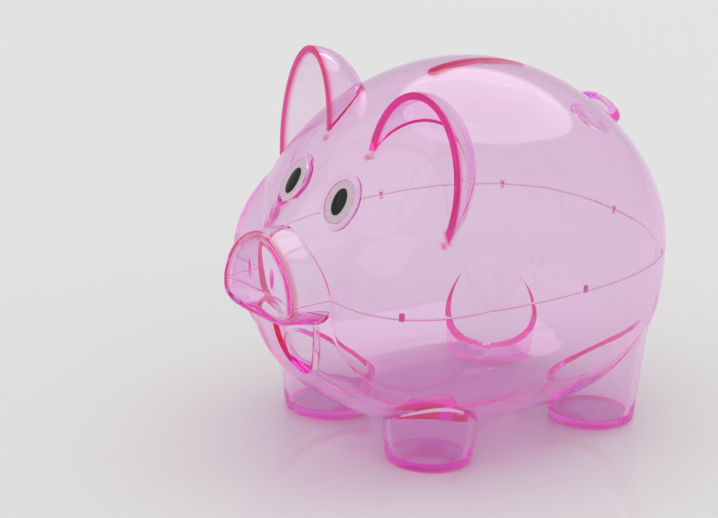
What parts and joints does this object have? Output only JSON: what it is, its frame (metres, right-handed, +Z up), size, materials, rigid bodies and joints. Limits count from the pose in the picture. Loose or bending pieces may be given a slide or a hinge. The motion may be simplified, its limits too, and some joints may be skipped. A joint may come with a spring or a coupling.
{
  "type": "piggy bank",
  "caption": "Clear pink moulded piggy bank in two shells that part at a level seam, with a coin slot in the crown, scoop ears, a dished snout, set-in oval eyes and hollow legs.",
  "frame": {"origin": "on the floor under the middle of the bank's bounding box, between its feet", "axes": "+Z up; the pig faces -Y; +X is the pig's left"},
  "size_m": [0.09, 0.1236, 0.1024],
  "materials": {
    "shell_plastic": "clear pink polystyrene, polished, with saturated magenta at its edges",
    "eye_frost": "frosted pale pink",
    "pupil_black": "glossy black"
  },
  "bodies": {
    "lower": {"lower_shell": "shell_plastic"},
    "upper": {"upper_shell": "shell_plastic", "eye_white_left": "eye_frost", "eye_white_right": "eye_frost", "pupil_left": "pupil_black", "pupil_right": "pupil_black"}
  },
  "joints": [
    {"name": "shell_lift", "type": "slide", "parent": "lower", "child": "upper", "axis": [0, 0, 1], "range_m": [0, 0.07]}
  ]
}
